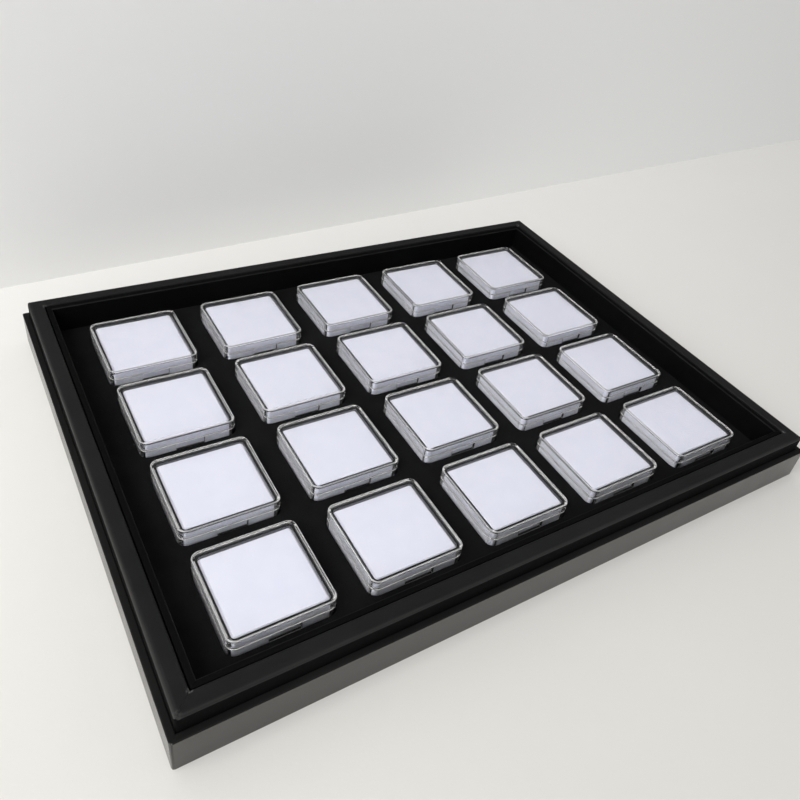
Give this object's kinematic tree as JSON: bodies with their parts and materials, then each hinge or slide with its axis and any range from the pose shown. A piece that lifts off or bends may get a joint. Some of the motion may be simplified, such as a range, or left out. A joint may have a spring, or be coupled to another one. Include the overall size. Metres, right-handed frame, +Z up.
{
  "type": "mineral specimen box",
  "caption": "Shallow black display tray with a stepped rim and a velvet pad whose pockets hold rows of clear square stone cases with lift-off lids and white foam inserts.",
  "frame": {"origin": "centre of the tray's underside", "axes": "+X along the long rows of cases, +Y from the front edge to the back, +Z up out of the open tray"},
  "size_m": [0.3028, 0.2318, 0.0232],
  "materials": {
    "black_wrap": "semi-gloss black grained paper or leatherette",
    "black_board": "matte black wrapped board",
    "black_liner": "matte black wrapped strip",
    "black_velvet": "short black velvet pile",
    "clear_plastic": "polished clear polystyrene",
    "white_foam": "fine white foam"
  },
  "bodies": {
    "tray": {"bottom_board": "black_board", "velvet_pad": "black_velvet", "front_wall": "black_wrap", "back_wall": "black_wrap", "left_wall": "black_wrap", "right_wall": "black_wrap", "front_rail": "black_wrap", "back_rail": "black_wrap", "left_rail": "black_wrap", "right_rail": "black_wrap", "front_liner": "black_liner", "back_liner": "black_liner", "left_liner": "black_liner", "right_liner": "black_liner"},
    "case_a1": {"case_a1": "clear_plastic"},
    "case_a2": {"case_a2": "clear_plastic"},
    "case_a3": {"case_a3": "clear_plastic"},
    "case_a4": {"case_a4": "clear_plastic"},
    "case_a5": {"case_a5": "clear_plastic"},
    "case_b1": {"case_b1": "clear_plastic"},
    "case_b2": {"case_b2": "clear_plastic"},
    "case_b3": {"case_b3": "clear_plastic"},
    "case_b4": {"case_b4": "clear_plastic"},
    "case_b5": {"case_b5": "clear_plastic"},
    "case_c1": {"case_c1": "clear_plastic"},
    "case_c2": {"case_c2": "clear_plastic"},
    "case_c3": {"case_c3": "clear_plastic"},
    "case_c4": {"case_c4": "clear_plastic"},
    "case_c5": {"case_c5": "clear_plastic"},
    "case_d1": {"case_d1": "clear_plastic"},
    "case_d2": {"case_d2": "clear_plastic"},
    "case_d3": {"case_d3": "clear_plastic"},
    "case_d4": {"case_d4": "clear_plastic"},
    "case_d5": {"case_d5": "clear_plastic"},
    "lid_a1": {"lid_a1": "clear_plastic"},
    "lid_a2": {"lid_a2": "clear_plastic"},
    "lid_a3": {"lid_a3": "clear_plastic"},
    "lid_a4": {"lid_a4": "clear_plastic"},
    "lid_a5": {"lid_a5": "clear_plastic"},
    "lid_b1": {"lid_b1": "clear_plastic"},
    "lid_b2": {"lid_b2": "clear_plastic"},
    "lid_b3": {"lid_b3": "clear_plastic"},
    "lid_b4": {"lid_b4": "clear_plastic"},
    "lid_b5": {"lid_b5": "clear_plastic"},
    "lid_c1": {"lid_c1": "clear_plastic"},
    "lid_c2": {"lid_c2": "clear_plastic"},
    "lid_c3": {"lid_c3": "clear_plastic"},
    "lid_c4": {"lid_c4": "clear_plastic"},
    "lid_c5": {"lid_c5": "clear_plastic"},
    "lid_d1": {"lid_d1": "clear_plastic"},
    "lid_d2": {"lid_d2": "clear_plastic"},
    "lid_d3": {"lid_d3": "clear_plastic"},
    "lid_d4": {"lid_d4": "clear_plastic"},
    "lid_d5": {"lid_d5": "clear_plastic"}
  },
  "joints": [
    {"name": "case_a1_lift", "type": "slide", "parent": "tray", "child": "case_a1", "axis": [0, 0, 1], "range_m": [0, 0.03]},
    {"name": "lid_a1_lift", "type": "slide", "parent": "case_a1", "child": "lid_a1", "axis": [0, 0, 1], "range_m": [0, 0.02]},
    {"name": "case_a2_lift", "type": "slide", "parent": "tray", "child": "case_a2", "axis": [0, 0, 1], "range_m": [0, 0.03]},
    {"name": "lid_a2_lift", "type": "slide", "parent": "case_a2", "child": "lid_a2", "axis": [0, 0, 1], "range_m": [0, 0.02]},
    {"name": "case_a3_lift", "type": "slide", "parent": "tray", "child": "case_a3", "axis": [0, 0, 1], "range_m": [0, 0.03]},
    {"name": "lid_a3_lift", "type": "slide", "parent": "case_a3", "child": "lid_a3", "axis": [0, 0, 1], "range_m": [0, 0.02]},
    {"name": "case_a4_lift", "type": "slide", "parent": "tray", "child": "case_a4", "axis": [0, 0, 1], "range_m": [0, 0.03]},
    {"name": "lid_a4_lift", "type": "slide", "parent": "case_a4", "child": "lid_a4", "axis": [0, 0, 1], "range_m": [0, 0.02]},
    {"name": "case_a5_lift", "type": "slide", "parent": "tray", "child": "case_a5", "axis": [0, 0, 1], "range_m": [0, 0.03]},
    {"name": "lid_a5_lift", "type": "slide", "parent": "case_a5", "child": "lid_a5", "axis": [0, 0, 1], "range_m": [0, 0.02]},
    {"name": "case_b1_lift", "type": "slide", "parent": "tray", "child": "case_b1", "axis": [0, 0, 1], "range_m": [0, 0.03]},
    {"name": "lid_b1_lift", "type": "slide", "parent": "case_b1", "child": "lid_b1", "axis": [0, 0, 1], "range_m": [0, 0.02]},
    {"name": "case_b2_lift", "type": "slide", "parent": "tray", "child": "case_b2", "axis": [0, 0, 1], "range_m": [0, 0.03]},
    {"name": "lid_b2_lift", "type": "slide", "parent": "case_b2", "child": "lid_b2", "axis": [0, 0, 1], "range_m": [0, 0.02]},
    {"name": "case_b3_lift", "type": "slide", "parent": "tray", "child": "case_b3", "axis": [0, 0, 1], "range_m": [0, 0.03]},
    {"name": "lid_b3_lift", "type": "slide", "parent": "case_b3", "child": "lid_b3", "axis": [0, 0, 1], "range_m": [0, 0.02]},
    {"name": "case_b4_lift", "type": "slide", "parent": "tray", "child": "case_b4", "axis": [0, 0, 1], "range_m": [0, 0.03]},
    {"name": "lid_b4_lift", "type": "slide", "parent": "case_b4", "child": "lid_b4", "axis": [0, 0, 1], "range_m": [0, 0.02]},
    {"name": "case_b5_lift", "type": "slide", "parent": "tray", "child": "case_b5", "axis": [0, 0, 1], "range_m": [0, 0.03]},
    {"name": "lid_b5_lift", "type": "slide", "parent": "case_b5", "child": "lid_b5", "axis": [0, 0, 1], "range_m": [0, 0.02]},
    {"name": "case_c1_lift", "type": "slide", "parent": "tray", "child": "case_c1", "axis": [0, 0, 1], "range_m": [0, 0.03]},
    {"name": "lid_c1_lift", "type": "slide", "parent": "case_c1", "child": "lid_c1", "axis": [0, 0, 1], "range_m": [0, 0.02]},
    {"name": "case_c2_lift", "type": "slide", "parent": "tray", "child": "case_c2", "axis": [0, 0, 1], "range_m": [0, 0.03]},
    {"name": "lid_c2_lift", "type": "slide", "parent": "case_c2", "child": "lid_c2", "axis": [0, 0, 1], "range_m": [0, 0.02]},
    {"name": "case_c3_lift", "type": "slide", "parent": "tray", "child": "case_c3", "axis": [0, 0, 1], "range_m": [0, 0.03]},
    {"name": "lid_c3_lift", "type": "slide", "parent": "case_c3", "child": "lid_c3", "axis": [0, 0, 1], "range_m": [0, 0.02]},
    {"name": "case_c4_lift", "type": "slide", "parent": "tray", "child": "case_c4", "axis": [0, 0, 1], "range_m": [0, 0.03]},
    {"name": "lid_c4_lift", "type": "slide", "parent": "case_c4", "child": "lid_c4", "axis": [0, 0, 1], "range_m": [0, 0.02]},
    {"name": "case_c5_lift", "type": "slide", "parent": "tray", "child": "case_c5", "axis": [0, 0, 1], "range_m": [0, 0.03]},
    {"name": "lid_c5_lift", "type": "slide", "parent": "case_c5", "child": "lid_c5", "axis": [0, 0, 1], "range_m": [0, 0.02]},
    {"name": "case_d1_lift", "type": "slide", "parent": "tray", "child": "case_d1", "axis": [0, 0, 1], "range_m": [0, 0.03]},
    {"name": "lid_d1_lift", "type": "slide", "parent": "case_d1", "child": "lid_d1", "axis": [0, 0, 1], "range_m": [0, 0.02]},
    {"name": "case_d2_lift", "type": "slide", "parent": "tray", "child": "case_d2", "axis": [0, 0, 1], "range_m": [0, 0.03]},
    {"name": "lid_d2_lift", "type": "slide", "parent": "case_d2", "child": "lid_d2", "axis": [0, 0, 1], "range_m": [0, 0.02]},
    {"name": "case_d3_lift", "type": "slide", "parent": "tray", "child": "case_d3", "axis": [0, 0, 1], "range_m": [0, 0.03]},
    {"name": "lid_d3_lift", "type": "slide", "parent": "case_d3", "child": "lid_d3", "axis": [0, 0, 1], "range_m": [0, 0.02]},
    {"name": "case_d4_lift", "type": "slide", "parent": "tray", "child": "case_d4", "axis": [0, 0, 1], "range_m": [0, 0.03]},
    {"name": "lid_d4_lift", "type": "slide", "parent": "case_d4", "child": "lid_d4", "axis": [0, 0, 1], "range_m": [0, 0.02]},
    {"name": "case_d5_lift", "type": "slide", "parent": "tray", "child": "case_d5", "axis": [0, 0, 1], "range_m": [0, 0.03]},
    {"name": "lid_d5_lift", "type": "slide", "parent": "case_d5", "child": "lid_d5", "axis": [0, 0, 1], "range_m": [0, 0.02]}
  ]
}
